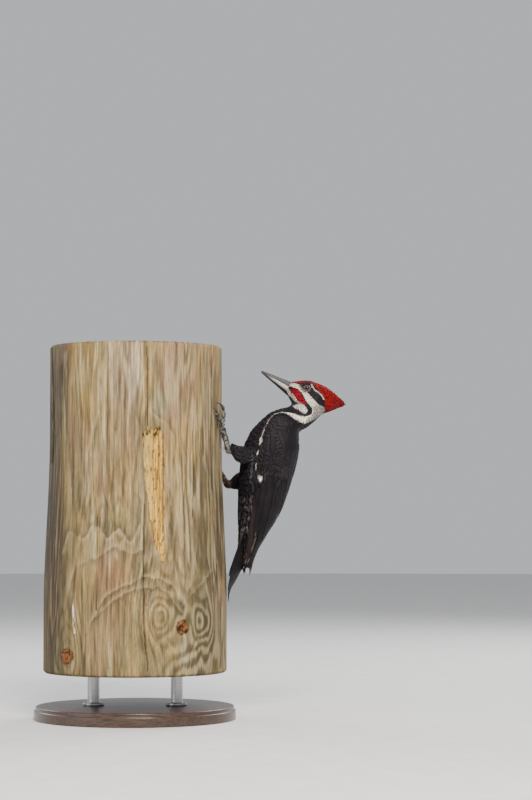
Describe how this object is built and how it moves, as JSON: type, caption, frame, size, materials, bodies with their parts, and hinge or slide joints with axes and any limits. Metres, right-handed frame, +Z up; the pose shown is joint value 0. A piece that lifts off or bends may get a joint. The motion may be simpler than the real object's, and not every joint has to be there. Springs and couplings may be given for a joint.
{
  "type": "pileated woodpecker",
  "caption": "Crested woodpecker clinging upright to a short cut length of round timber pole, on a flat base with short rods.",
  "frame": {"origin": "centre of the stand base's underside, on the pole's own axis", "axes": "+Z up along the pole, +X from the pole towards the bird, +Y towards the bird's right side"},
  "size_m": [0.4635, 0.3, 0.555],
  "materials": {
    "timber": "weathered grey-brown softwood, checked and knotted",
    "base": "satin dark-stained hardwood",
    "steel": "brushed",
    "black_feather": "matt slaty black plumage",
    "white_feather": "matt white plumage with slate and crimson stripes",
    "red_feather": "matt scarlet plumage",
    "bill_slate": "smooth slate horn",
    "bill_horn": "smooth pale horn",
    "eye": "wet gloss",
    "scale": "matt grey scutes",
    "claw": "smooth dark horn"
  },
  "bodies": {
    "root": {"perch_pole": "timber", "stand_base": "base", "stand_rod_1": "steel", "stand_rod_2": "steel", "trunk": "black_feather", "neck": "black_feather", "head": "white_feather", "crest": "red_feather", "wing_left": "black_feather", "wing_right": "black_feather", "tail": "black_feather", "thigh_left": "black_feather", "thigh_right": "black_feather", "bill_upper": "bill_slate", "bill_lower": "bill_horn", "eye_left": "eye", "eye_right": "eye", "foot_left": "scale", "foot_right": "scale", "claw_left_front": "claw", "claw_left_inner": "claw", "claw_left_outer": "claw", "claw_left_rear": "claw", "claw_right_front": "claw", "claw_right_inner": "claw", "claw_right_outer": "claw", "claw_right_rear": "claw"}
  },
  "joints": []
}
